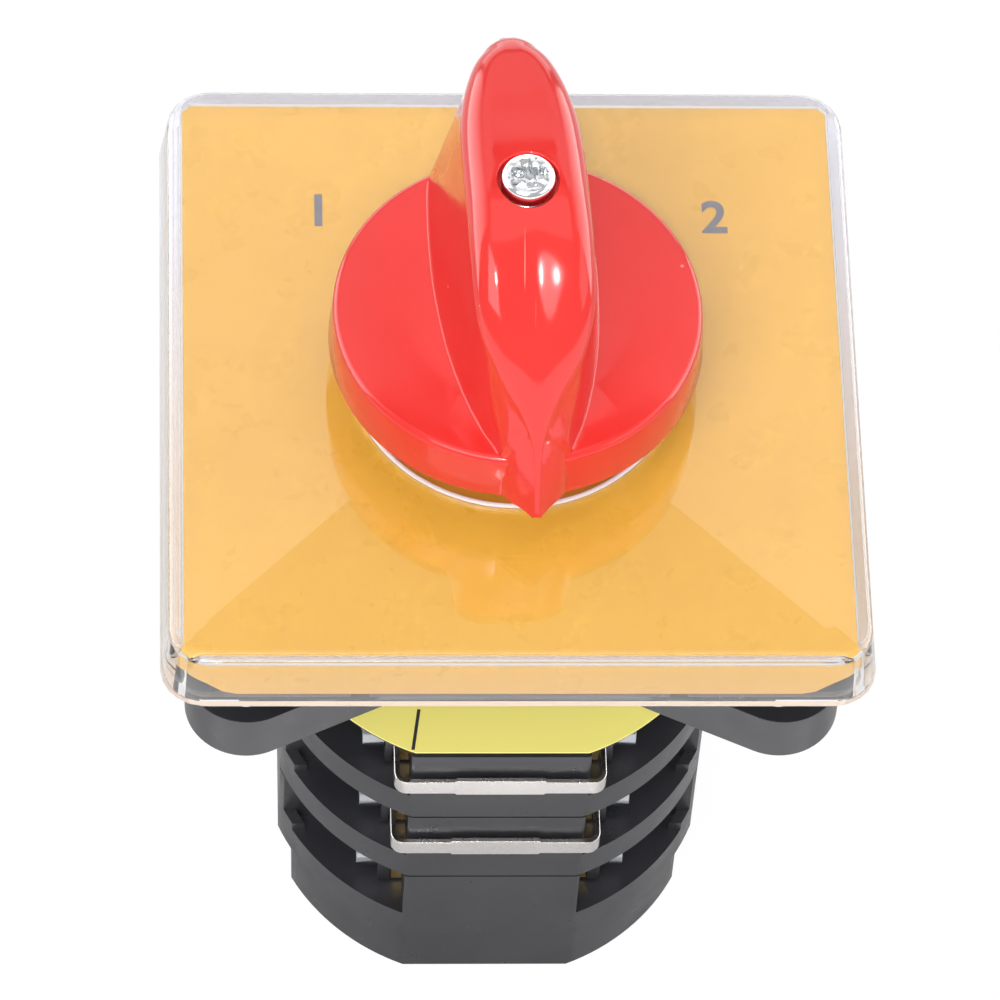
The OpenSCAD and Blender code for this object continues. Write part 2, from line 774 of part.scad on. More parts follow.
module back_plate() {
  half = legend_w / 2;
  wall_half = half - legend_t - plate_clear;
  notch_half = tab_half + plate_clear;
  color("#26262b") difference() {
    union() {
      translate([0, 0, back_z]) linear_extrude(back_t) round_square(half, cover_corner_r / 2);
      translate([0, 0, skirt_z]) linear_extrude(back_wall_h) difference() {
        round_square(wall_half, cover_corner_r / 2);
        round_square(wall_half - legend_t, cover_corner_r / 3);
      }
      translate([0, 0, skirt_z]) linear_extrude(legend_top - legend_t - skirt_z) difference() {
        circle(r = legend_hole_r - plate_clear);
        circle(r = legend_hole_r - plate_clear - legend_t);
      }
    }
    translate([0, 0, back_z - overrun])
      cylinder(r = top_journal_r + 2 * seat_gap, h = back_t + 2 * overrun);
    for (i = [0 : 3]) rotate(90 * i) translate([plate_screw_pcd_r, 0, back_z - overrun])
      cylinder(r = plate_screw_r + screw_clear, h = back_t + 2 * overrun);
    for (x = tab_places) for (end = [-1, 1])
      translate([x - notch_half, end * half - legend_t - plate_clear, back_z - overrun])
        cube([2 * notch_half, 2 * (legend_t + plate_clear), back_t + 2 * overrun]);
  }
}

module back_plate_screws() {
  head_h = back_t;
  color(zinc) for (i = [0 : 3]) rotate(90 * i) translate([plate_screw_pcd_r, 0, 0]) {
    translate([0, 0, back_z - screw_bite]) cylinder(r = plate_screw_r, h = screw_bite + back_t);
    translate([0, 0, skirt_z]) cylinder(r = plate_head_r, h = head_h);
  }
}

module legend_plate() {
  half = legend_w / 2;
  skirt_h = legend_top - legend_t - skirt_z;
  color(yellow) difference() {
    union() {
      translate([0, 0, legend_top - legend_t]) linear_extrude(legend_t)
        round_square(half, cover_corner_r / 2);
      translate([0, 0, skirt_z]) linear_extrude(skirt_h) difference() {
        round_square(half, cover_corner_r / 2);
        round_square(half - legend_t, cover_corner_r / 4);
      }
      for (x = tab_places) for (end = [-1, 1])
        translate([x - tab_half, end > 0 ? half - legend_t : -half, skirt_z - back_t + seat_gap])
          cube([2 * tab_half, legend_t, back_t]);
    }
    translate([0, 0, skirt_z]) cylinder(r = legend_hole_r, h = cover_h);
    for (i = [0 : 3]) rotate(90 * i) each_side() skirt_corner(half);
  }
}

// Slanting cut at one end of one side of the skirt
module skirt_corner(half) {
  translate([0, legend_t - half, skirt_z]) rotate([90, 0, 0])
    linear_extrude(legend_t + overrun)
      polygon([[half - skirt_cut, -overrun], [half - skirt_cut, 0],
               [half - skirt_cut * cut_mid_shares[0], skirt_cut * cut_mid_shares[1]],
               [half, skirt_cut * cut_end_share], [half + overrun, skirt_cut * cut_end_share],
               [half + overrun, -overrun]]);
}

module front_cover() {
  rim_half = cover_w / 2;
  top_half = rim_half - cover_draft;
  cavity_half = legend_w / 2 + plate_clear;
  layer = cover_edge_r / 10;
  edge_steps = 3;
  color(clear) difference() {
    hull() {
      translate([0, 0, cover_z]) linear_extrude(layer) round_square(rim_half, cover_corner_r, $fn = 32);
      for (i = [0 : edge_steps]) let (a = 90 * i / edge_steps)
        translate([0, 0, cover_top - layer - cover_edge_r * (1 - sin(a))]) linear_extrude(layer)
          round_square(top_half - cover_edge_r * (1 - cos(a)), cover_corner_r, $fn = 32);
    }
    translate([0, 0, cover_z - overrun]) linear_extrude(legend_top - cover_z + overrun)
      round_square(cavity_half, cover_corner_r / 2 + plate_clear);
    translate([0, 0, cover_z]) cylinder(r = cover_hole_r, h = cover_h + overrun);
  }
}

// Knob

// Stations of the grip from tail to tip. Each gives its place, as a share of the tail's reach or
// of the tip's, its half widths at the disc and at the top, its height, and how full its flanks are.
grip_shares = [
  [1, 0.7, 0.05, 0.975, 0.9], [0.97, 0.82, 0.13, 0.99, 1], [0.92, 0.9, 0.34, 0.995, 1],
  [0.82, 0.95, 0.58, 1, 1], [0.65, 0.98, 0.81, 1, 1], [0.44, 1, 0.94, 1, 1], [0.18, 1, 1, 1, 1],
  [-0.07, 0.96, 1, 0.99, 1], [-0.29, 0.88, 1, 0.93, 1], [-0.51, 0.74, 0.95, 0.815, 1.2],
  [-0.66, 0.61, 0.72, 0.675, 1.6], [-0.77, 0.48, 0.34, 0.505, 2.2], [-0.85, 0.4, 0.11, 0.35, 2.6],
  [-0.9, 0.3, 0.06, 0.25, 2.2], [-0.95, 0.16, 0.05, 0.14, 1.6], [-1, 0.05, 0.04, 0.03, 0.9]
];
grip_steps = 2;
flank_steps = 5;

// A smooth curve through the stations
function between(a, b, c, d, t) =
  (2 * b + (c - a) * t + (2 * a - 5 * b + 4 * c - d) * t * t + (3 * b - 3 * c + d - a) * t * t * t) / 2;
function station(i) = grip_shares[min(max(i, 0), len(grip_shares) - 1)];
function grip_share(i) = let (k = floor(i))
  between(station(k - 1), station(k), station(k + 1), station(k + 2), i - k);

// One cross section, from the lower left corner over the top to the lower right corner
function grip_section(share) =
  let (y = share[0] * (share[0] > 0 ? tail_reach : tip_reach),
       foot = share[1] * grip_half,
       crest = min(share[2] * deck_half, foot),
       floor_z = y < disc_wall / 2 - disc_r ? disc_z + disc_taper : disc_top - disc_edge_r * 1.6,
       top_z = max(disc_z + (deck_z - disc_z) * share[3], floor_z + deck_edge_r / 2),
       edge = min(deck_edge_r, crest * 0.8, (top_z - floor_z) * 0.45))
  let (half = concat(
    [for (k = [0 : flank_steps - 1]) let (t = k / (flank_steps - 1))
      [foot + (crest - foot) * pow(t, share[4]), floor_z + (top_z - edge - floor_z) * t]],
    [for (k = [1 : 3]) let (a = 90 * k / 3) [crest - edge * (1 - cos(a)), top_z - edge * (1 - sin(a))]]))
  concat([for (p = half) [-p[0], y, p[1]]],
         [for (k = [len(half) - 1 : -1 : 0]) [half[k][0], y, half[k][1]]]);

module grip() {
  count = 2 * (flank_steps + 3);
  rings = grip_steps * (len(grip_shares) - 1);
  points = [for (i = [0 : rings]) each grip_section(grip_share(i / grip_steps))];
  walls = [for (i = [0 : rings - 1]) for (k = [0 : count - 1])
    let (a = i * count + k, b = i * count + (k + 1) % count)
    each [[a, b, b + count], [a, b + count, a + count]]];
  last = rings * count;
  ends = [for (k = [1 : count - 2]) each [[0, k + 1, k], [last, last + k, last + k + 1]]];
  polyhedron(points = points, faces = concat(walls, ends));
}

// Profile of the disc, a cap with a round hub
module disc_profile() {
  top_r = disc_r - disc_taper;
  roof_z = disc_top - disc_roof_t;
  polygon(concat([[0, knob_hub_z], [knob_hub_r, knob_hub_z], [knob_hub_r, roof_z],
    [disc_r - disc_wall - disc_taper, roof_z], [disc_r - disc_wall, disc_z], [disc_r, disc_z]],
    [for (k = [0 : 4]) let (a = 90 * k / 4)
      [top_r - disc_edge_r * (1 - cos(a)), disc_top - disc_edge_r * (1 - sin(a))]],
    [[0, disc_top]]));
}

module knob() {
  color(red) difference() {
    union() {
      rotate_extrude() disc_profile();
      rotate(grip_turn) grip();
    }
    square_bore(knob_hub_z - overrun, shaft_top + seat_gap);
    translate([0, 0, shaft_top]) cylinder(r = knob_screw_r + screw_clear, h = deck_z - shaft_top);
    translate([0, 0, seat_z]) cylinder(r = pocket_r, h = grip_h);
  }
}

module knob_washer() {
  color(steel) translate([0, 0, seat_z]) difference() {
    cylinder(r = washer_r, h = washer_t);
    translate([0, 0, -overrun]) cylinder(r = knob_screw_r + screw_clear, h = washer_t + 2 * overrun);
  }
}

// Half profile of the knob screw's head
module pan_head() {
  polygon(concat([[0, 0], [knob_head_r, 0]],
    [for (k = [0 : 4]) let (a = 90 * k / 4) [knob_head_r - knob_head_edge_r * (1 - cos(a)),
      knob_head_h - knob_head_edge_r * (1 - sin(a))]],
    [[0, knob_head_h]]));
}

module knob_screw() {
  recess_h = knob_head_h / 2;
  recess_w = knob_head_r / 3;
  recess_l = 1.2 * knob_head_r;
  color(zinc) difference() {
    union() {
      translate([0, 0, seat_z - knob_screw_l]) cylinder(r = knob_screw_r, h = knob_screw_l + washer_t);
      translate([0, 0, seat_z + washer_t]) rotate_extrude() pan_head();
    }
    translate([0, 0, seat_z + washer_t + knob_head_h]) {
      cube([recess_l, recess_w, 2 * recess_h], center = true);
      cube([recess_w, recess_l, 2 * recess_h], center = true);
    }
  }
}

rear_cover();
stage_housing(1);  // stage_housing_1
stage_housing(2);  // stage_housing_2
stage_housing(3);  // stage_housing_3
cam(1);  // cam_1
cam(2);  // cam_2
cam(3);  // cam_3
plunger(1, -1);  // plunger_1_left
plunger(1, 1);  // plunger_1_right
plunger(2, -1);  // plunger_2_left
plunger(2, 1);  // plunger_2_right
plunger(3, -1);  // plunger_3_left
plunger(3, 1);  // plunger_3_right
bridge(1, -1);  // bridge_1_left
bridge(1, 1);  // bridge_1_right
bridge(2, -1);  // bridge_2_left
bridge(2, 1);  // bridge_2_right
bridge(3, -1);  // bridge_3_left
bridge(3, 1);  // bridge_3_right
contact_spring(1, -1);  // contact_spring_1_left
contact_spring(1, 1);  // contact_spring_1_right
contact_spring(2, -1);  // contact_spring_2_left
contact_spring(2, 1);  // contact_spring_2_right
contact_spring(3, -1);  // contact_spring_3_left
contact_spring(3, 1);  // contact_spring_3_right
terminals(1);  // terminals_1
terminals(2);  // terminals_2
terminals(3);  // terminals_3
terminal_screws(1);  // terminal_screws_1
terminal_screws(2);  // terminal_screws_2
terminal_screws(3);  // terminal_screws_3
clamp_washers(1);  // clamp_washers_1
clamp_washers(2);  // clamp_washers_2
clamp_washers(3);  // clamp_washers_3
strap(1);  // strap_1
strap(2);  // strap_2
tie_bolts();
detent_housing();
rating_label();
stop_disc();
detent_wheel();
detent_rollers();
detent_sliders();
detent_springs();
shaft();
mounting_flange();
flange_screws();
back_plate();
back_plate_screws();
legend_plate();
front_cover();
knob();
knob_washer();
knob_screw();
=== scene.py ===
# Reversing drum switch for a control panel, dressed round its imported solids.
# Metres, +Z up along the shaft, the pointer's tip towards -Y.
import bpy
import json
import math
from mathutils import Matrix, Vector


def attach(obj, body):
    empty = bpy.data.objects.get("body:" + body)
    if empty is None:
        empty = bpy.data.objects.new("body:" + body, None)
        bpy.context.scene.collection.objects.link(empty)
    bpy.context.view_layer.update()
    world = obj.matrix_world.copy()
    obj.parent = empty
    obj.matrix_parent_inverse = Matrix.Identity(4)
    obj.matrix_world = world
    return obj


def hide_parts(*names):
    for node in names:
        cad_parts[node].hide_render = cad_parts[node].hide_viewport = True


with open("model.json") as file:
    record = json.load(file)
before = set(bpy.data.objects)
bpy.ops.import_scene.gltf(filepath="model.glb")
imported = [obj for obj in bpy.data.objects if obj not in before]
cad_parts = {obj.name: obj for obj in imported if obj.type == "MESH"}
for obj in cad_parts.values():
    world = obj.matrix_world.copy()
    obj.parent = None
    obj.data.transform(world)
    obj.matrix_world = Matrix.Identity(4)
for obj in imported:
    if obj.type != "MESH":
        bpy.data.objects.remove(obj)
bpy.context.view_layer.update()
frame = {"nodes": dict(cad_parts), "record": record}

MM = 0.001

# Camera, as the photograph's viewing angle
CAM_AZIMUTH = math.radians(-5.358)
CAM_ELEVATION = math.radians(56.911)
CAM_ROLL = math.radians(4.571)
CAM_TARGET = Vector((-0.348, 0, 74.970)) * MM
CAM_DISTANCE = 952.61 * MM
CAM_LENS = 261.725
CAM_CLIP = (0.05, 20)
SENSOR = 36


def make_camera():
    a, e = CAM_AZIMUTH, CAM_ELEVATION
    forward = Vector((-math.sin(a) * math.cos(e), math.cos(a) * math.cos(e), -math.sin(e)))
    right = Vector((math.cos(a), math.sin(a), 0))
    up = right.cross(forward)
    axes = Matrix((right, up, -forward)).transposed().to_4x4()
    data = bpy.data.cameras.new("photo_camera")
    data.lens, data.sensor_width = CAM_LENS, SENSOR
    data.clip_start, data.clip_end = CAM_CLIP
    cam = bpy.data.objects.new("photo_camera", data)
    bpy.context.scene.collection.objects.link(cam)
    turn = Matrix.Rotation(CAM_ROLL, 4, "Z")
    cam.matrix_world = Matrix.Translation(CAM_TARGET - forward * CAM_DISTANCE) @ axes @ turn
    bpy.context.scene.camera = cam


make_camera()


# Materials

def new_material(name):
    mat = bpy.data.materials.new(name)
    mat.use_nodes = True
    return mat, mat.node_tree, mat.node_tree.nodes["Principled BSDF"]


def node(tree, kind, **settings):
    made = tree.nodes.new(kind)
    for key, value in settings.items():
        setattr(made, key, value)
    return made


def object_place(tree):
    return node(tree, "ShaderNodeTexCoord").outputs["Object"]


def noise_texture(tree, scale, detail=3.0, roughness=0.55):
    made = node(tree, "ShaderNodeTexNoise")
    made.inputs["Scale"].default_value = scale
    made.inputs["Detail"].default_value = detail
    made.inputs["Roughness"].default_value = roughness
    tree.links.new(object_place(tree), made.inputs["Vector"])
    return made.outputs["Fac"]


def spread(tree, value, low, high, start=0.0, end=1.0):
    made = node(tree, "ShaderNodeMapRange")
    tree.links.new(value, made.inputs["Value"])
    made.inputs["From Min"].default_value = start
    made.inputs["From Max"].default_value = end
    made.inputs["To Min"].default_value = low
    made.inputs["To Max"].default_value = high
    return made.outputs["Result"]


def blend_colours(tree, factor, one, two):
    made = node(tree, "ShaderNodeMix", data_type="RGBA")
    tree.links.new(factor, made.inputs["Factor"])
    made.inputs[6].default_value = (*one, 1)
    made.inputs[7].default_value = (*two, 1)
    return made.outputs[2]


def bump(tree, shader, height, strength, distance):
    made = node(tree, "ShaderNodeBump")
    made.inputs["Strength"].default_value = strength
    made.inputs["Distance"].default_value = distance
    tree.links.new(height, made.inputs["Height"])
    tree.links.new(made.outputs["Normal"], shader.inputs["Normal"])


def moulded(name, colour, other, roughness, grain=900.0, depth=0.02):
    """Moulded plastic: two close tones, uneven gloss and a fine skin"""
    mat, tree, shader = new_material(name)
    cloud = noise_texture(tree, 70)
    tone = blend_colours(tree, spread(tree, cloud, 0, 1, 0.3, 0.7), colour, other)
    tree.links.new(tone, shader.inputs["Base Color"])
    low, high = roughness
    gloss = spread(tree, noise_texture(tree, 180, 4), low, high, 0.3, 0.7)
    tree.links.new(gloss, shader.inputs["Roughness"])
    bump(tree, shader, noise_texture(tree, grain, 2), 0.25, depth * MM)
    return mat


def metal(name, colour, other, roughness, grain=400.0, depth=0.03):
    mat, tree, shader = new_material(name)
    shader.inputs["Metallic"].default_value = 1.0
    cloud = noise_texture(tree, 150)
    tree.links.new(blend_colours(tree, spread(tree, cloud, 0, 1, 0.3, 0.7), colour, other),
                   shader.inputs["Base Color"])
    low, high = roughness
    gloss = spread(tree, noise_texture(tree, 300, 4), low, high, 0.3, 0.7)
    tree.links.new(gloss, shader.inputs["Roughness"])
    bump(tree, shader, noise_texture(tree, grain, 3), 0.3, depth * MM)
    return mat


def clear_plastic(name):
    """Clear plastic whose shadow rays pass, so that lamps reach what it covers"""
    mat, tree, shader = new_material(name)
    shader.inputs["Base Color"].default_value = (0.985, 0.99, 1.0, 1)
    shader.inputs["Transmission Weight"].default_value = 1.0
    shader.inputs["IOR"].default_value = 1.58
    shader.inputs["Roughness"].default_value = 0.0
    path = node(tree, "ShaderNodeLightPath")
    passing = node(tree, "ShaderNodeBsdfTransparent")
    passing.inputs["Color"].default_value = (0.93, 0.93, 0.93, 1)
    mix = node(tree, "ShaderNodeMixShader")
    tree.links.new(path.outputs["Is Shadow Ray"], mix.inputs[0])
    tree.links.new(shader.outputs[0], mix.inputs[1])
    tree.links.new(passing.outputs[0], mix.inputs[2])
    tree.links.new(mix.outputs[0], tree.nodes["Material Output"].inputs["Surface"])
    return mat


def clear_material():
    mat = clear_plastic("clear_cover_plastic")
    tree = mat.node_tree
    shader = tree.nodes["Principled BSDF"]
    bump(tree, shader, noise_texture(tree, 18, 1), 0.03, 0.02 * MM)
    return mat


def both_of(tree, one, other, operation="MULTIPLY"):
    made = node(tree, "ShaderNodeMath", operation=operation)
    tree.links.new(one, made.inputs[0])
    tree.links.new(other, made.inputs[1])
    return made.outputs[0]


def dust(tree):
    """White in the middle of a few random cells"""
    cells = node(tree, "ShaderNodeTexVoronoi")
    cells.inputs["Scale"].default_value = 330
    tree.links.new(object_place(tree), cells.inputs["Vector"])
    dot = spread(tree, cells.outputs["Distance"], 1, 0, 0.05, 0.09)
    split = node(tree, "ShaderNodeSeparateColor")
    tree.links.new(cells.outputs["Color"], split.inputs[0])
    few = spread(tree, split.outputs[0], 0, 1, 0.9, 0.92)
    return both_of(tree, dot, few)


# Windows of the scratches and painted reflection streaks: axis, strength at both ends of the fade, and
# its ends in metres
SCRATCH_AND_STREAK_WINDOWS = [(0, 0, 1, -0.0012, -0.0008), (0, 1, 0, 0.0020, 0.0024), (1, 1, 0, -0.0060, -0.0052),
                   (1, 0, 1, -0.0172, -0.0160), (2, 0, 1, 0.1300, 0.1305)]


def scratches_and_painted_streaks(tree):
    """Pale thin lines along the grip, inside the windows, partly scratches and partly painted
    reflection streaks
    """
    stretch = node(tree, "ShaderNodeMapping")
    stretch.inputs["Scale"].default_value = (2600, 55, 30)
    tree.links.new(object_place(tree), stretch.inputs["Vector"])
    lines = node(tree, "ShaderNodeTexNoise")
    lines.inputs["Scale"].default_value = 1
    lines.inputs["Detail"].default_value = 1
    tree.links.new(stretch.outputs[0], lines.inputs["Vector"])
    thin = spread(tree, lines.outputs["Fac"], 0, 1, 0.66, 0.70)
    axes = node(tree, "ShaderNodeSeparateXYZ")
    tree.links.new(object_place(tree), axes.inputs[0])
    for axis, low, high, start, end in SCRATCH_AND_STREAK_WINDOWS:
        thin = both_of(tree, thin, spread(tree, axes.outputs[axis], low, high, start, end))
    return thin


def red_plastic():
    """Glossy red with dust specks, and fine pale lines down the deck that are partly scratches and
    partly painted reflection streaks
    """
    mat = moulded("red_knob_plastic", (0.89, 0.034, 0.028), (0.92, 0.040, 0.033), (0.07, 0.14),
                  grain=420, depth=0.006)
    tree = mat.node_tree
    shader = tree.nodes["Principled BSDF"]
    # The specks are dust; the lines on the deck are partly scratches and partly painted reflection
    # streaks
    marks = both_of(tree, dust(tree), scratches_and_painted_streaks(tree), "MAXIMUM")
    base = shader.inputs["Base Color"].links[0].from_socket
    mix = node(tree, "ShaderNodeMix", data_type="RGBA")
    tree.links.new(spread(tree, marks, 0, 0.75), mix.inputs["Factor"])
    tree.links.new(base, mix.inputs[6])
    mix.inputs[7].default_value = (0.95, 0.5, 0.46, 1)
    tree.links.new(mix.outputs[2], shader.inputs["Base Color"])
    return mat


def lemon_film_painted_glow():
    """Lemon film with a painted glow, an emission that makes it brighter than the lamps alone light it
    """
    mat = moulded("lemon_film_painted_glow", (0.90, 0.82, 0.22), (0.92, 0.84, 0.25), (0.3, 0.42))
    shader = mat.node_tree.nodes["Principled BSDF"]
    # Painted glow: this emission stands in for light that the label does not get from the lamps
    shader.inputs["Emission Color"].default_value = (1.0, 0.85, 0.2, 1)
    shader.inputs["Emission Strength"].default_value = 0.26
    return mat


MATERIALS = {
    "black_plastic": moulded("black_phenolic", (0.024, 0.024, 0.029), (0.034, 0.034, 0.040),
                             (0.26, 0.38), grain=700, depth=0.03),
    "cream_plastic": moulded("cream_nylon", (0.62, 0.57, 0.45), (0.68, 0.63, 0.52), (0.35, 0.5)),
    "red_plastic": red_plastic(),
    "yellow_plastic": moulded("yellow_plate_plastic", (0.69, 0.380, 0.040), (0.72, 0.396, 0.046),
                              (0.25, 0.35)),
    "label_film": lemon_film_painted_glow(),
    "clear_plastic": clear_material(),
    "brass": metal("brass", (0.78, 0.56, 0.22), (0.68, 0.46, 0.17), (0.22, 0.38)),
    "nickel": metal("nickel_plate", (0.68, 0.645, 0.63), (0.60, 0.57, 0.555), (0.2, 0.34)),
    # zinc_steel is darker than the bright zinc: painted shade for the terminal screws in their recesses
    "zinc_steel": metal("zinc_plate_painted_shade", (0.40, 0.41, 0.43), (0.30, 0.31, 0.33), (0.12, 0.3)),
    "spring_steel": metal("spring_steel", (0.5, 0.5, 0.52), (0.42, 0.42, 0.44), (0.2, 0.35)),
    "shaft_steel": metal("shaft_steel", (0.58, 0.58, 0.6), (0.5, 0.5, 0.52), (0.22, 0.4)),
}

SOFT_EDGES = {"black_plastic": 0.3, "yellow_plastic": 0.25, "nickel": 0.12, "zinc_steel": 0.15,
              "brass": 0.12, "label_film": 0.05}


def soften(part, width):
    """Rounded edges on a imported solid, which itself stays as it is"""
    weld = part.modifiers.new("weld", "WELD")
    weld.merge_threshold = 0.001 * MM
    flat = part.modifiers.new("flat", "DECIMATE")
    flat.decimate_type = "DISSOLVE"
    flat.angle_limit = math.radians(0.5)
    edges = part.modifiers.new("edges", "BEVEL")
    edges.width = width * MM
    edges.segments = 2
    edges.limit_method = "ANGLE"
    edges.angle_limit = math.radians(35)
    edges.use_clamp_overlap = True
    edges.miter_outer = "MITER_ARC"
    shade = part.modifiers.new("shade", "WEIGHTED_NORMAL")
    shade.keep_sharp = False


# Dark steel for the clamp washers: painted shade, standing for the shade of the terminal recesses
shaded_steel_painted = metal("shaded_steel_painted", (0.17, 0.17, 0.18), (0.12, 0.12, 0.13), (0.3, 0.45))

for row in frame["record"]["subparts"]:
    part = frame["nodes"][row["node"]]
    kind = row["material_slot"]
    part.data.materials.clear()
    painted_shade_washer = row["node"].startswith("clamp_washers")
    part.data.materials.append(shaded_steel_painted if painted_shade_washer else MATERIALS[kind])
    if kind in SOFT_EDGES:
        soften(part, SOFT_EDGES[kind])


# Meshes in millimetres

AXIS_R = 0.001


def put(name, points, faces, mat, body, crease=30.0):
    mesh = bpy.data.meshes.new(name)
    mesh.from_pydata([Vector(p) * MM for p in points], [], faces)
    mesh.validate()
    mesh.materials.append(mat)
    made = bpy.data.objects.new(name, mesh)
    bpy.context.scene.collection.objects.link(made)
    smooth(mesh, crease)
    if body:
        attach(made, body)
    return made


def smooth(mesh, crease):
    mesh.polygons.foreach_set("use_smooth", [True] * len(mesh.polygons))
    mesh.set_sharp_from_angle(angle=math.radians(crease))


def bridge(loops, close):
    """Faces between loops of equal length, closed into a ring or capped at both ends"""
    count = len(loops[0])
    points = [p for loop in loops for p in loop]
    faces = []
    spans = len(loops) if close else len(loops) - 1
    for i in range(spans):
        a, b = i * count, (i + 1) % len(loops) * count
        for k in range(count):
            n = (k + 1) % count
            faces.append((a + k, a + n, b + n, b + k))
    if not close:
        faces.append(tuple(reversed(range(count))))
        faces.append(tuple((len(loops) - 1) * count + k for k in range(count)))
    return points, faces


def turned(profile, steps=160):
    """A ring turned from a closed outline of (radius, height)"""
    loops = [[(r * math.cos(2 * math.pi * k / steps), r * math.sin(2 * math.pi * k / steps), z)
              for k in range(steps)] for r, z in profile]
    return bridge(loops, True)


def arc(cx, cz, radius, start, end, steps=6):
    return [(cx + radius * math.cos(math.radians(start + (end - start) * k / steps)),
             cz + radius * math.sin(math.radians(start + (end - start) * k / steps)))
            for k in range(steps + 1)]


def cut(body, tool, kind="DIFFERENCE"):
    change = body.modifiers.new("cut", "BOOLEAN")
    change.operation, change.solver, change.object = kind, "EXACT", tool
    bpy.context.view_layer.update()
    done = bpy.data.meshes.new_from_object(body.evaluated_get(bpy.context.evaluated_depsgraph_get()))
    body.modifiers.remove(change)
    body.data = done
    bpy.data.objects.remove(tool)


def block(name, lo, hi):
    corners = [(x, y, z) for x in (lo[0], hi[0]) for y in (lo[1], hi[1]) for z in (lo[2], hi[2])]
    faces = [(0, 1, 3, 2), (4, 6, 7, 5), (0, 4, 5, 1), (2, 3, 7, 6), (0, 2, 6, 4), (1, 5, 7, 3)]
    return put(name, corners, faces, MATERIALS["black_plastic"], None)


# Knob: a round cap with a tapered grip that runs out in a pointed tip

DISC_R, DISC_Z, DISC_TOP, DISC_EDGE = 23.75, 112.3, 119.6, 0.9
DISC_TAPER, DISC_RIM, ROOF_Z = 0.4, 0.3, 116.7
DECK_Z, SEAT_Z = 147.5, 145.3
HUB_HALF, HUB_R, HUB_Z = 4.0, 8.0, 99.5
POCKET_R, POCKET_LIP, POCKET_OVER = 3.85, 0.35, 0.6
BORE_HALF, BORE_LOW, BORE_TOP = 3.55, 90, 137.3
WAY_R, WAY_LOW, WAY_TOP = 2.2, 130, 146
GRIP_TURN = math.radians(4)
TAIL_REACH, TIP_REACH, GRIP_HALF, DECK_HALF = 23.3, 27.2, 10.5, 7.7
# Sections from tail to tip: place, width of the foot, width of the crest, height, power of the flank
GRIP = [
    (1, 0.7, 0.18, 0.925, 0.9), (0.97, 0.82, 0.33, 0.955, 1), (0.92, 0.9, 0.48, 0.978, 1),
    (0.82, 0.95, 0.66, 0.996, 1), (0.65, 0.98, 0.84, 1, 1), (0.44, 1, 0.96, 1, 1), (0.18, 1, 1, 1, 1),
    (-0.07, 0.96, 1, 0.99, 1), (-0.29, 0.88, 1, 0.93, 1), (-0.51, 0.74, 0.95, 0.815, 1.2),
    (-0.66, 0.61, 0.72, 0.675, 1.6), (-0.77, 0.48, 0.34, 0.505, 2.2), (-0.85, 0.4, 0.11, 0.35, 2.6),
    (-0.9, 0.3, 0.06, 0.25, 2.2), (-0.95, 0.16, 0.05, 0.14, 1.6), (-1, 0.05, 0.04, 0.03, 0.9)]
# Rounding of the tail's end: width, shift and drop of each section beyond the last
STERN = ((0.90, 0.42, 0.75), (0.945, 0.38, 0.4), (0.98, 0.25, 0.15), (0.995, 0.1, 0.03))
SECTION_STEPS, FLANK_STEPS, EDGE_STEPS, DECK_STEPS = 8, 13, 12, 10
# The tip stands free of the disc from this far inside its edge, and starts this far above its foot
TIP_LAP, TIP_LIFT, LEAST_HEIGHT, LEAST_FLANK = 1.2, 0.4, 0.8, 0.1
CREST_EDGE, CREST_EDGE_MORE = 3.0, 0.6
FLARE, FLARE_RING, FLARE_SHARES = 0.25, 22.5, (0, 0.06, 0.16, 0.34, 0.6)
DISH, DISH_HALF = 0.5, 2.1


def through(rows, place):
    """A smooth curve through the rows"""
    k = min(int(place), len(rows) - 2)
    t = place - k
    a, b, c, d = (rows[min(max(k + i, 0), len(rows) - 1)] for i in (-1, 0, 1, 2))
    return [(2 * q + (r - p) * t + (2 * p - 5 * q + 4 * r - s) * t * t
             + (3 * q - 3 * r + s - p) * t ** 3) / 2 for p, q, r, s in zip(a, b, c, d)]


def ease(value, low, high):
    t = min(max((value - low) / (high - low), 0), 1)
    return t * t * (3 - 2 * t)


def fillet(lift, flare):
    return math.sqrt(max(flare ** 2 - (lift - flare) ** 2, 0))


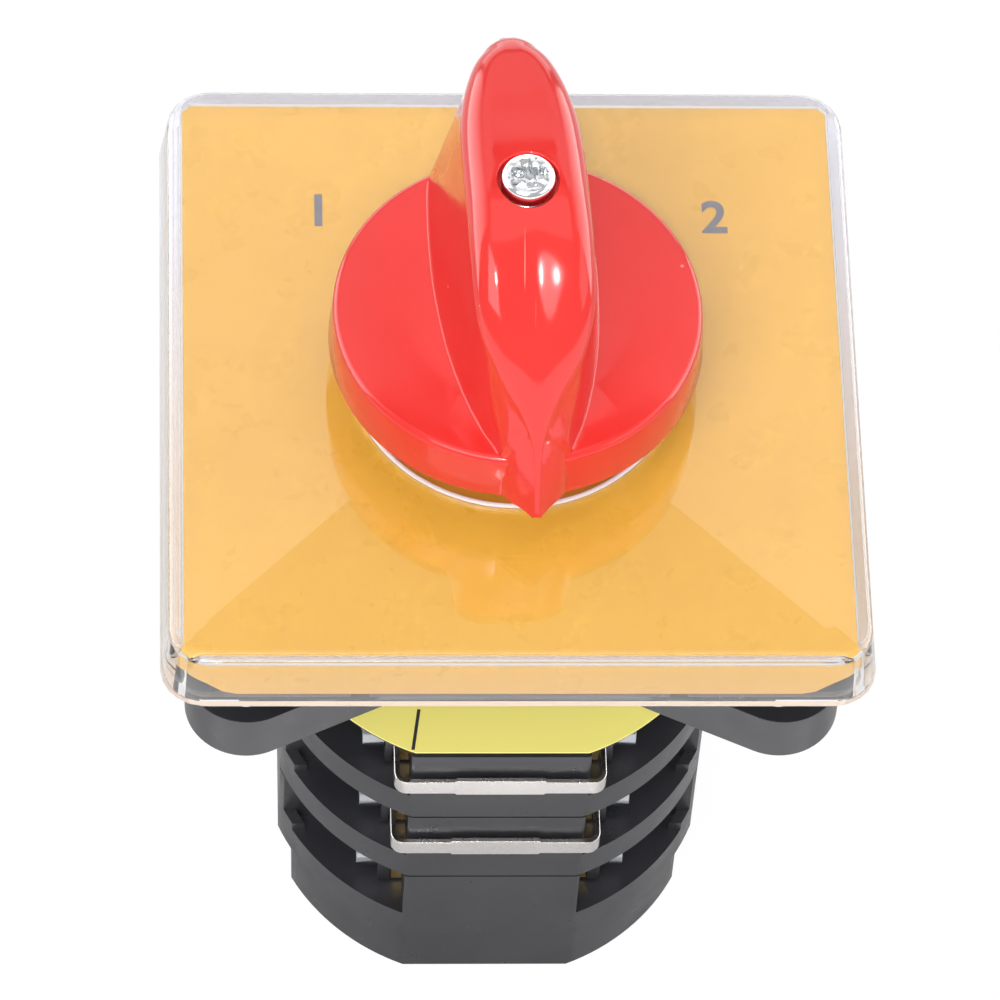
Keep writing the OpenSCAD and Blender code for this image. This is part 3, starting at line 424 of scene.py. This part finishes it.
def grip_section(row):
    """Outline across the grip, from the left foot over the deck to the right foot"""
    place, foot_share, crest_share, height_share, power = row
    y = place * (TAIL_REACH if place > 0 else TIP_REACH)
    foot = foot_share * GRIP_HALF
    crest = min(crest_share * DECK_HALF, foot)
    over = y < TIP_LAP - DISC_R
    floor = DISC_Z + TIP_LIFT if over else DISC_TOP - DISC_EDGE * 1.6
    top = max(DISC_Z + (DECK_Z - DISC_Z) * height_share, floor + LEAST_HEIGHT)
    edge = min(CREST_EDGE + CREST_EDGE_MORE * ease(y, -14, 2), crest * 0.9, (top - floor) * 0.45)
    reach = math.sqrt(max(FLARE_RING ** 2 - y * y, 0))
    flare = 0 if over else max(min(FLARE, reach - foot), 0)
    half = []
    for k in range(FLANK_STEPS + 1):
        t = k / FLANK_STEPS
        z = floor + (top - edge - floor) * t
        wide = foot + (crest - foot) * t ** power
        if flare > 0 and z - DISC_TOP < flare:
            wide += flare - fillet(max(z - DISC_TOP, 0), flare)
        half.append((wide, z))
    extra = []
    if flare > 0:
        for near in FLARE_SHARES:
            lift = near * flare
            z = DISC_TOP + lift
            t = min(max((z - floor) / max(top - edge - floor, LEAST_FLANK), 0), 1)
            wide = foot + (crest - foot) * t ** power
            extra.append((wide + flare - fillet(lift, flare), z))
        half = [half[0]] + sorted(extra + half[1:], key=lambda p: p[1])
    else:
        (x0, z0), (x1, z1) = half[:2]
        gaps = len(FLARE_SHARES) + 1
        for k in range(1, gaps):
            extra.append((x0 + (x1 - x0) * k / gaps, z0 + (z1 - z0) * k / gaps))
        half = [half[0]] + extra + half[1:]
    for k in range(1, EDGE_STEPS):
        a = math.radians(90 * k / EDGE_STEPS)
        half.append((crest - edge * (1 - math.cos(a)), top - edge * (1 - math.sin(a))))
    flat = crest - edge
    dish = DISH * ease(-y, 2, 12) * ease(y, -24, -15)
    shore = math.exp(-(flat / DISH_HALF) ** 2)
    for k in range(DECK_STEPS):
        x = flat * (1 - k / DECK_STEPS)
        half.append((x, top - dish * (math.exp(-(x / DISH_HALF) ** 2) - shore)))
    left = [(-x, y, z) for x, z in half]
    right = [(x, y, z) for x, z in reversed(half)]
    return left + [(0, y, top - dish * (1 - shore))] + right


def grip_loops():
    stern = grip_section(GRIP[0])
    high = max(z for x, y, z in stern)
    loops = [[(x * narrow, y + shift, min(z, high - drop)) for x, y, z in stern]
             for narrow, shift, drop in STERN]
    count = SECTION_STEPS * (len(GRIP) - 1) + 1
    loops += [grip_section(through(GRIP, i / SECTION_STEPS)) for i in range(count)]
    c, s = math.cos(GRIP_TURN), math.sin(GRIP_TURN)
    return [[(x * c - y * s, x * s + y * c, z) for x, y, z in loop] for loop in loops]


def disc_profile():
    top_r = DISC_R - DISC_TAPER
    profile = [(HUB_HALF, HUB_Z), (HUB_R, HUB_Z), (HUB_R, ROOF_Z), (20.95, ROOF_Z),
               (21.2, DISC_Z + 0.15), (21.35, DISC_Z)]
    profile += arc(DISC_R - DISC_RIM, DISC_Z + DISC_RIM, DISC_RIM, -90, 0, 3)
    profile += arc(top_r - DISC_EDGE, DISC_TOP - DISC_EDGE, DISC_EDGE, 0, 90, 8)
    return profile + [(20.0, DISC_TOP), (15.0, DISC_TOP), (HUB_HALF, DISC_TOP)]


def pocket_profile():
    """The screw's pocket with its rounded lip"""
    rise = DECK_Z - POCKET_LIP
    profile = [(AXIS_R, SEAT_Z), (POCKET_R, SEAT_Z), (POCKET_R, rise)]
    for degrees in (22, 45, 68, 90):
        a = math.radians(degrees)
        profile.append((POCKET_R + POCKET_LIP * (1 - math.cos(a)), rise + POCKET_LIP * math.sin(a)))
    return profile + [(4.3, DECK_Z + POCKET_OVER), (AXIS_R, DECK_Z + POCKET_OVER)]


def red_mesh(name, points, faces):
    return put(name, points, faces, MATERIALS["red_plastic"], None)


def make_knob():
    grip = red_mesh("grip", *bridge(grip_loops(), False))
    knob = red_mesh("fine_knob", *turned(disc_profile(), 256))
    cut(knob, grip, "UNION")
    cut(knob, red_mesh("pocket", *turned(pocket_profile(), 96)))
    cut(knob, block("bore", (-BORE_HALF, -BORE_HALF, BORE_LOW), (BORE_HALF, BORE_HALF, BORE_TOP)))
    way = [(AXIS_R, WAY_LOW), (WAY_R, WAY_LOW), (WAY_R, WAY_TOP), (AXIS_R, WAY_TOP)]
    cut(knob, red_mesh("screw_way", *turned(way, 48)))
    knob.data.materials.clear()
    knob.data.materials.append(MATERIALS["red_plastic"])
    smooth(knob.data, 28)
    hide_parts("knob")
    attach(knob, "rotor")


make_knob()


# Knob screw: a pan head with a worn cross recess

def worn_metal():
    mat, tree, shader = new_material("worn_recess")
    shader.inputs["Metallic"].default_value = 1.0
    tree.links.new(blend_colours(tree, spread(tree, noise_texture(tree, 900), 0, 1, 0.35, 0.65),
                                 (0.88, 0.89, 0.90), (0.6, 0.62, 0.64)), shader.inputs["Base Color"])
    shader.inputs["Roughness"].default_value = 0.16
    cells = node(tree, "ShaderNodeTexVoronoi")
    cells.inputs["Scale"].default_value = 850
    tree.links.new(object_place(tree), cells.inputs["Vector"])
    bump(tree, shader, cells.outputs["Distance"], 0.9, 0.3 * MM)
    return mat


def bright_zinc():
    return metal("bright_zinc", (0.86, 0.87, 0.90), (0.78, 0.80, 0.83), (0.1, 0.2), depth=0.01)


SCREW_SEAT = SEAT_Z + 0.8
SCREW_TOP = SCREW_SEAT + 2.5
SHANK_R, SHANK_LENGTH = 2.0, 18
HEAD_R, HEAD_FOOT, HEAD_EDGE = 3.35, 0.15, 0.85
RECESS_TURNS = (12, 102)
# Half length, half width and height of a recess arm at its mouth and at its floor
RECESS_ROWS = [(2.35, 0.72, SCREW_TOP + 0.2), (1.35, 0.42, SCREW_TOP - 1.35)]
WASHER_IN, WASHER_OUT, WASHER_EDGE = 2.1, 3.2, 0.1


def recess_arm(turn):
    c, s = math.cos(math.radians(turn)), math.sin(math.radians(turn))
    corners = [(x * l * c - y * w * s, x * l * s + y * w * c, z)
               for l, w, z in RECESS_ROWS for x, y in ((-1, -1), (1, -1), (1, 1), (-1, 1))]
    faces = [(0, 1, 2, 3), (7, 6, 5, 4), (0, 4, 5, 1), (1, 5, 6, 2), (2, 6, 7, 3), (3, 7, 4, 0)]
    return put("arm", corners, faces, MATERIALS["zinc_steel"], None)


def make_knob_screw():
    foot = SEAT_Z - SHANK_LENGTH
    profile = [(AXIS_R, foot), (1.6, foot), (SHANK_R, foot + 0.5), (SHANK_R, SCREW_SEAT),
               (WASHER_OUT, SCREW_SEAT)]
    profile += arc(HEAD_R - HEAD_FOOT, SCREW_SEAT + HEAD_FOOT, HEAD_FOOT, -60, 0, 2)
    profile += arc(HEAD_R - HEAD_EDGE, SCREW_TOP - 0.95, HEAD_EDGE, 0, 80, 8)
    profile += [(1.9, SCREW_TOP - 0.03), (1.0, SCREW_TOP), (AXIS_R, SCREW_TOP)]
    points, faces = turned(profile, 96)
    screw = put("fine_knob_screw", points, faces, bright_zinc(), None)
    screw.data.materials.append(worn_metal())
    for turn in RECESS_TURNS:
        cut(screw, recess_arm(turn))
    smooth(screw.data, 25)
    for face in screw.data.polygons:
        away = math.hypot(face.center.x, face.center.y)
        if face.center.z > (SCREW_TOP - 1.5) * MM and away < 2.5 * MM:
            face.material_index = 1
    rim = WASHER_OUT + 0.13
    points, faces = turned([(WASHER_IN, SEAT_Z), (WASHER_OUT, SEAT_Z), (rim, SEAT_Z + WASHER_EDGE),
                            (rim, SCREW_SEAT - WASHER_EDGE), (WASHER_OUT, SCREW_SEAT),
                            (WASHER_IN, SCREW_SEAT)], 96)
    washer = put("fine_washer", points, faces, bright_zinc(), "rotor")
    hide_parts("knob_washer")
    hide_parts("knob_screw")
    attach(screw, "rotor")


make_knob_screw()


# Clear cover: a thick square cap with soft edges and a round hole for the knob

COVER_Z, COVER_TOP, CEILING = 96.6, 105.5, 104.1
COVER_HALF, COVER_TOP_HALF, COVER_CORNER, COVER_EDGE = 45.0, 44.1, 5.5, 1.1
COVER_HOLE_R, COVER_HOLE_EDGE = 21.0, 0.45
# Half width, corner and height of the hollow under the top
HOLLOW = [(40.0, 0.8, CEILING), (42.1, 0.8, CEILING), (42.25, 0.8, CEILING - 0.05),
          (42.3, 0.8, CEILING - 0.2), (42.3, 0.8, COVER_Z + 0.2), (42.5, 0.9, COVER_Z)]


def squircle(half, corner, z, count=256):
    """A rounded square, its points at even angles from the centre"""
    loop = []
    for k in range(count):
        a = 2 * math.pi * (k + 0.5) / count
        c, s = math.cos(a), math.sin(a)
        reach = half / max(abs(c), abs(s))
        x, y = abs(c) * reach, abs(s) * reach
        inner = half - corner
        if x > inner and y > inner:
            b = inner * (abs(c) + abs(s))
            reach = b + math.sqrt(max(b * b - 2 * inner * inner + corner * corner, 0))
        loop.append((c * reach, s * reach, z))
    return loop


def circle(radius, z, count=256):
    return [(radius * math.cos(2 * math.pi * (k + 0.5) / count),
             radius * math.sin(2 * math.pi * (k + 0.5) / count), z) for k in range(count)]


def matte_rim_painted_reflection():
    """The cover's underside, matted and tinted with a painted reflection, orange towards the front and
    bluish white towards the rear, which the rest of the cover mirrors
    """
    mat, tree, shader = new_material("matte_rim_painted_reflection")
    axes = node(tree, "ShaderNodeSeparateXYZ")
    tree.links.new(object_place(tree), axes.inputs[0])
    # Painted reflection: the tint runs from orange at the front to bluish white at the rear
    rear = spread(tree, axes.outputs[1], 0, 1, -0.02, 0.03)
    tree.links.new(blend_colours(tree, rear, (0.80, 0.64, 0.50), (0.88, 0.88, 0.97)),
                   shader.inputs["Base Color"])
    gloss = spread(tree, noise_texture(tree, 90), 0.5, 0.7, 0.3, 0.7)
    tree.links.new(gloss, shader.inputs["Roughness"])
    return mat


def make_cover():
    corner, edge, lip, hole = COVER_CORNER, COVER_EDGE, COVER_HOLE_EDGE, COVER_HOLE_R
    loops = [squircle(COVER_HALF - 0.4, corner - 0.4, COVER_Z),
             squircle(COVER_HALF - 0.12, corner, COVER_Z + 0.12),
             squircle(COVER_HALF - 0.01, corner, COVER_Z + 0.4)]
    for k in range(9):
        a = math.radians(90 * k / 8)
        inward = edge * (1 - math.cos(a))
        loops.append(squircle(COVER_TOP_HALF - inward, corner - inward * 0.6,
                              COVER_TOP - edge * (1 - math.sin(a))))
    loops += [squircle(40.0, 5.0, COVER_TOP), circle(24.0, COVER_TOP)]
    for k in range(6):
        a = math.radians(90 * k / 5)
        loops.append(circle(hole + lip * (1 - math.sin(a)), COVER_TOP - lip * (1 - math.cos(a))))
    loops += [circle(hole, CEILING + 0.1), circle(hole + 0.1, CEILING), circle(24.0, CEILING)]
    loops += [squircle(*row) for row in HOLLOW]
    points, faces = bridge(loops, True)
    cover = put("fine_cover", points, faces, MATERIALS["clear_plastic"], "housing", 40)
    cover.data.materials.append(matte_rim_painted_reflection())
    for face in cover.data.polygons:
        if face.center.z < (COVER_Z + 0.1) * MM:
            face.material_index = 1
    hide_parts("front_cover")


make_cover()


PLATE_HALF, PLATE_TOP, PLATE_CEILING, SKIRT_Z = 42.1, 104.0, 102.8, 97.7
PLATE_HOLE_R, PLATE_EDGE, PLATE_CORNER = 20.0, 0.3, 0.6
SKIRT_CUT, SKIRT_CUT_HEIGHT, SKIRT_CUT_POWER, SKIRT_T = 5.4, 3.8, 1.4, 1.1


def skirt(reach, corner):
    """Foot of the skirt, which rises in a slant towards each corner"""
    loop = []
    for x, y, z in squircle(reach, corner, SKIRT_Z):
        short, long = sorted((abs(x), abs(y)))
        away = max(PLATE_HALF - short - max(PLATE_HALF - long, 0), 0)
        near = min(away / SKIRT_CUT, 1)
        loop.append((x, y, SKIRT_Z + SKIRT_CUT_HEIGHT * (1 - near ** SKIRT_CUT_POWER)))
    return loop


def make_plate():
    """The plate as a shallow tray whose skirt runs out slanting at the corners"""
    hole, edge, inner = PLATE_HOLE_R, PLATE_EDGE, PLATE_CORNER - 0.1
    loops = [circle(hole, PLATE_TOP - 0.1), circle(hole + 0.1, PLATE_TOP), circle(22.0, PLATE_TOP),
             squircle(40.0, PLATE_CORNER, PLATE_TOP)]
    for k in range(5):
        a = math.radians(90 * k / 4)
        loops.append(squircle(PLATE_HALF - edge + edge * math.sin(a), PLATE_CORNER,
                              PLATE_TOP - edge + edge * math.cos(a)))
    loops += [skirt(PLATE_HALF, PLATE_CORNER), skirt(PLATE_HALF - SKIRT_T, inner),
              squircle(PLATE_HALF - 1.2, inner, PLATE_CEILING - 0.01),
              squircle(39.0, inner, PLATE_CEILING), circle(22.0, PLATE_CEILING),
              circle(hole, PLATE_CEILING)]
    points, faces = bridge(loops, True)
    faces = [tuple(reversed(f)) for f in faces]
    plate = put("fine_plate", points, faces, MATERIALS["yellow_plastic"], "housing")
    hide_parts("legend_plate")


make_plate()


# A pale opaque ring on the cover's hole lip: a painted highlight for the white crescent that the clear
# lip shows
def painted_highlight_lip():
    mat, tree, shader = new_material("lip_painted_highlight")
    cloud = noise_texture(tree, 60)
    tree.links.new(blend_colours(tree, spread(tree, cloud, 0, 1, 0.35, 0.65), (0.95, 0.88, 0.88),
                                 (0.97, 0.95, 0.95)), shader.inputs["Base Color"])
    shader.inputs["Roughness"].default_value = 0.25
    shader.inputs["Coat Weight"].default_value = 0.6
    return mat


# The ring carries the painted highlight round the lip of the hole
def make_lip():
    profile = arc(20.66, 105.45, 0.33, 0, 330, 11)
    points, faces = turned(profile, 256)
    put("cover_lip_painted_highlight", points, faces, painted_highlight_lip(), "housing")


make_lip()


def make_collar():
    inner, outer, low, high = 16.6, 19.85, 102.84, 103.3
    points, faces = turned([(inner, low), (outer, low), (outer, high), (inner, high)], 192)
    put("plate_collar", points, faces, MATERIALS["yellow_plastic"], "housing")


make_collar()


# Plain numbers on the plate and a plain rule on the label

NUMBER_SIZE, NUMBER_BOLD, NUMBER_T, NUMBER_Z = 6.9, 0.17, 0.01, 104.04

def ink(name, colour):
    mat, tree, shader = new_material(name)
    cloud = noise_texture(tree, 500)
    tree.links.new(blend_colours(tree, spread(tree, cloud, 0, 1, 0.3, 0.7), colour,
                                 tuple(c * 1.15 for c in colour)), shader.inputs["Base Color"])
    shader.inputs["Roughness"].default_value = 0.5
    return mat


def number(text, x, y, mat):
    curve = bpy.data.curves.new("number_" + text, "FONT")
    curve.body = text
    curve.size = NUMBER_SIZE * MM
    curve.offset = NUMBER_BOLD * MM
    curve.extrude = NUMBER_T * MM
    curve.align_x, curve.align_y = "CENTER", "CENTER"
    shape = bpy.data.objects.new("number_shape", curve)
    bpy.context.scene.collection.objects.link(shape)
    bpy.context.view_layer.update()
    mesh = bpy.data.meshes.new_from_object(shape.evaluated_get(bpy.context.evaluated_depsgraph_get()))
    bpy.data.objects.remove(shape)
    mesh.materials.clear()
    mesh.materials.append(mat)
    made = bpy.data.objects.new("number_" + text, mesh)
    bpy.context.scene.collection.objects.link(made)
    made.location = (x * MM, y * MM, NUMBER_Z * MM)
    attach(made, "housing")


grey_ink = ink("grey_ink", (0.13, 0.125, 0.15))
number("1", -24.5, 25.1, grey_ink)
number("2", 26.8, 24.2, grey_ink)


def make_rule():
    a, b, half = Vector((-10.85, -21.8)), Vector((-11.75, -28.0)), 0.22
    levels = (58.055, 58.08)
    side = Vector((b.y - a.y, a.x - b.x)).normalized() * half
    corners = [(p.x + w * side.x, p.y + w * side.y, z) for z in levels
               for p, w in ((a, 1), (b, 1), (b, -1), (a, -1))]
    faces = [(3, 2, 1, 0), (4, 5, 6, 7), (0, 1, 5, 4), (1, 2, 6, 5), (2, 3, 7, 6), (3, 0, 4, 7)]
    put("label_rule", corners, faces, ink("black_ink", (0.03, 0.03, 0.035)), "housing")


make_rule()


# Stage: pale floor, white surround, soft lamps and cards that only the glossy faces see

def flat_mesh(name, corners, mat):
    mesh = bpy.data.meshes.new(name)
    mesh.from_pydata(corners, [], [tuple(range(len(corners)))])
    mesh.materials.append(mat)
    made = bpy.data.objects.new(name, mesh)
    bpy.context.scene.collection.objects.link(made)
    return made


def floor_material():
    mat, tree, shader = new_material("pale_floor")
    shader.inputs["Base Color"].default_value = (0.86, 0.86, 0.86, 1)
    shader.inputs["Roughness"].default_value = 0.9
    white = node(tree, "ShaderNodeEmission")
    white.inputs["Strength"].default_value = 1.045
    path = node(tree, "ShaderNodeLightPath")
    most = node(tree, "ShaderNodeMath", operation="MULTIPLY")
    most.inputs[1].default_value = 0.9
    sees = node(tree, "ShaderNodeMath", operation="MAXIMUM")
    tree.links.new(path.outputs["Is Camera Ray"], sees.inputs[0])
    tree.links.new(path.outputs["Is Transmission Ray"], sees.inputs[1])
    tree.links.new(blend_colours(tree, path.outputs["Is Camera Ray"], (0.82, 0.80, 0.80), (1, 1, 1)),
                   white.inputs["Color"])
    tree.links.new(sees.outputs[0], most.inputs[0])
    mix = node(tree, "ShaderNodeMixShader")
    tree.links.new(most.outputs[0], mix.inputs[0])
    tree.links.new(shader.outputs[0], mix.inputs[1])
    tree.links.new(white.outputs[0], mix.inputs[2])
    tree.links.new(mix.outputs[0], tree.nodes["Material Output"].inputs["Surface"])
    return mat


def make_floor():
    half = 3.0
    corners = [(-half, -half, 0), (half, -half, 0), (half, half, 0), (-half, half, 0)]
    flat_mesh("floor", corners, floor_material())


def make_world():
    world = bpy.data.worlds.new("white_room")
    bpy.context.scene.world = world
    world.use_nodes = True
    tree = world.node_tree
    back = tree.nodes["Background"]
    path = node(tree, "ShaderNodeLightPath")
    sees = node(tree, "ShaderNodeMath", operation="MAXIMUM")
    tree.links.new(path.outputs["Is Camera Ray"], sees.inputs[0])
    tree.links.new(path.outputs["Is Transmission Ray"], sees.inputs[1])
    tree.links.new(spread(tree, sees.outputs[0], 0.52, 1.0), back.inputs["Strength"])
    tree.links.new(blend_colours(tree, path.outputs["Is Transmission Ray"], (1, 1, 1),
                                 (0.84, 0.83, 0.84)), back.inputs["Color"])


def area_lamp(name, place, target, size, power):
    data = bpy.data.lights.new(name, "AREA")
    data.shape, data.size, data.size_y = "RECTANGLE", size[0], size[1]
    data.energy = power
    lamp = bpy.data.objects.new(name, data)
    lamp.location = place
    lamp.rotation_euler = (Vector(target) - Vector(place)).to_track_quat("-Z", "Y").to_euler()
    bpy.context.scene.collection.objects.link(lamp)
    return lamp


def spot_lamp(name, place, target, cone, power):
    data = bpy.data.lights.new(name, "SPOT")
    data.energy, data.spot_blend, data.shadow_soft_size = power, 1.0, 0.12
    data.specular_factor = 0.1
    data.spot_size = math.radians(cone)
    lamp = bpy.data.objects.new(name, data)
    lamp.location = place
    lamp.rotation_euler = (Vector(target) - Vector(place)).to_track_quat("-Z", "Y").to_euler()
    bpy.context.scene.collection.objects.link(lamp)


def card(name, corners, glow, fade=0.0):
    """A glowing card; with a fade its light changes up to the fade's strength at the top"""
    mat = bpy.data.materials.new(name)
    mat.use_nodes = True
    tree = mat.node_tree
    tree.nodes.remove(tree.nodes["Principled BSDF"])
    light = node(tree, "ShaderNodeEmission")
    light.inputs["Color"].default_value = (1, 1, 1, 1)
    if fade:
        axes = node(tree, "ShaderNodeSeparateXYZ")
        tree.links.new(object_place(tree), axes.inputs[0])
        tree.links.new(spread(tree, axes.outputs[2], glow, fade, 0.2, 1.1), light.inputs["Strength"])
    else:
        light.inputs["Strength"].default_value = glow
    tree.links.new(light.outputs[0], tree.nodes["Material Output"].inputs["Surface"])
    made = flat_mesh(name, corners, mat)
    made.visible_camera = made.visible_diffuse = made.visible_shadow = False
    made.visible_transmission = made.visible_volume_scatter = False


# Above the switch, three cards leave a dark triangle between them, which the cover mirrors
ROOF = 0.7
APEX, LEFT_FOOT, RIGHT_FOOT = (0.036, 0.4015, ROOF), (-0.1655, 0.2, ROOF), (0.2375, 0.2, ROOF)
WEST, EAST, NORTH, SOUTH = -0.30, 0.40, 0.75, 0.2
GROUND = 0.002

make_floor()
make_world()
area_lamp("lamp_key", (-0.45, -0.95, 1.15), (0, 0, 0.08), (0.9, 0.9), 8.5)
area_lamp("lamp_right", (1.0, -0.5, 0.75), (0, 0, 0.08), (0.7, 0.7), 2)
area_lamp("lamp_top", (0.0, -0.1, 1.5), (0, 0, 0.1), (0.9, 0.7), 1.5).data.specular_factor = 0.0
spot_lamp("lamp_spot", (-0.1, -0.9, 1.3), (0.002, -0.036, 0.104), 6.6, 46)

card("card_rear", [(WEST, APEX[1], ROOF), APEX, (EAST, APEX[1], ROOF), (EAST, NORTH, ROOF),
                   (WEST, NORTH, ROOF)], 1.3)
card("card_left", [APEX, (WEST, APEX[1], ROOF), (WEST, SOUTH, ROOF), LEFT_FOOT], 1.3)
card("card_right", [APEX, RIGHT_FOOT, (EAST, SOUTH, ROOF), (EAST, APEX[1], ROOF)], 1.35)
card("card_gap", [APEX, LEFT_FOOT, RIGHT_FOOT], 0.15)
card("card_side_left", [(-0.8, -0.1, 0.05), (-0.8, 1.0, 0.05), (-0.62, 1.0, 1.25), (-0.62, -0.1, 1.25)],
     5.5, 1.2)
card("card_side_right", [(0.85, -0.1, 0.05), (0.85, 1.0, 0.05), (0.7, 1.0, 1.25), (0.7, -0.1, 1.25)],
     5.5, 1.2)
card("card_floor", [(-0.8, -1.3, GROUND), (0.8, -1.3, GROUND), (0.8, -0.06, GROUND),
                    (-0.8, -0.06, GROUND)], 1.55)
card("card_floor_back", [(-1.2, 0.12, GROUND), (1.2, 0.12, GROUND), (1.2, 2.6, GROUND),
                         (-1.2, 2.6, GROUND)], 1.2)
card("card_back", [(-0.75, 1.15, 0.03), (0.8, 1.15, 0.03), (0.8, 1.15, 0.75), (-0.75, 1.15, 0.75)],
     3.0, 1.4)

bpy.context.scene.view_settings.view_transform = "Standard"
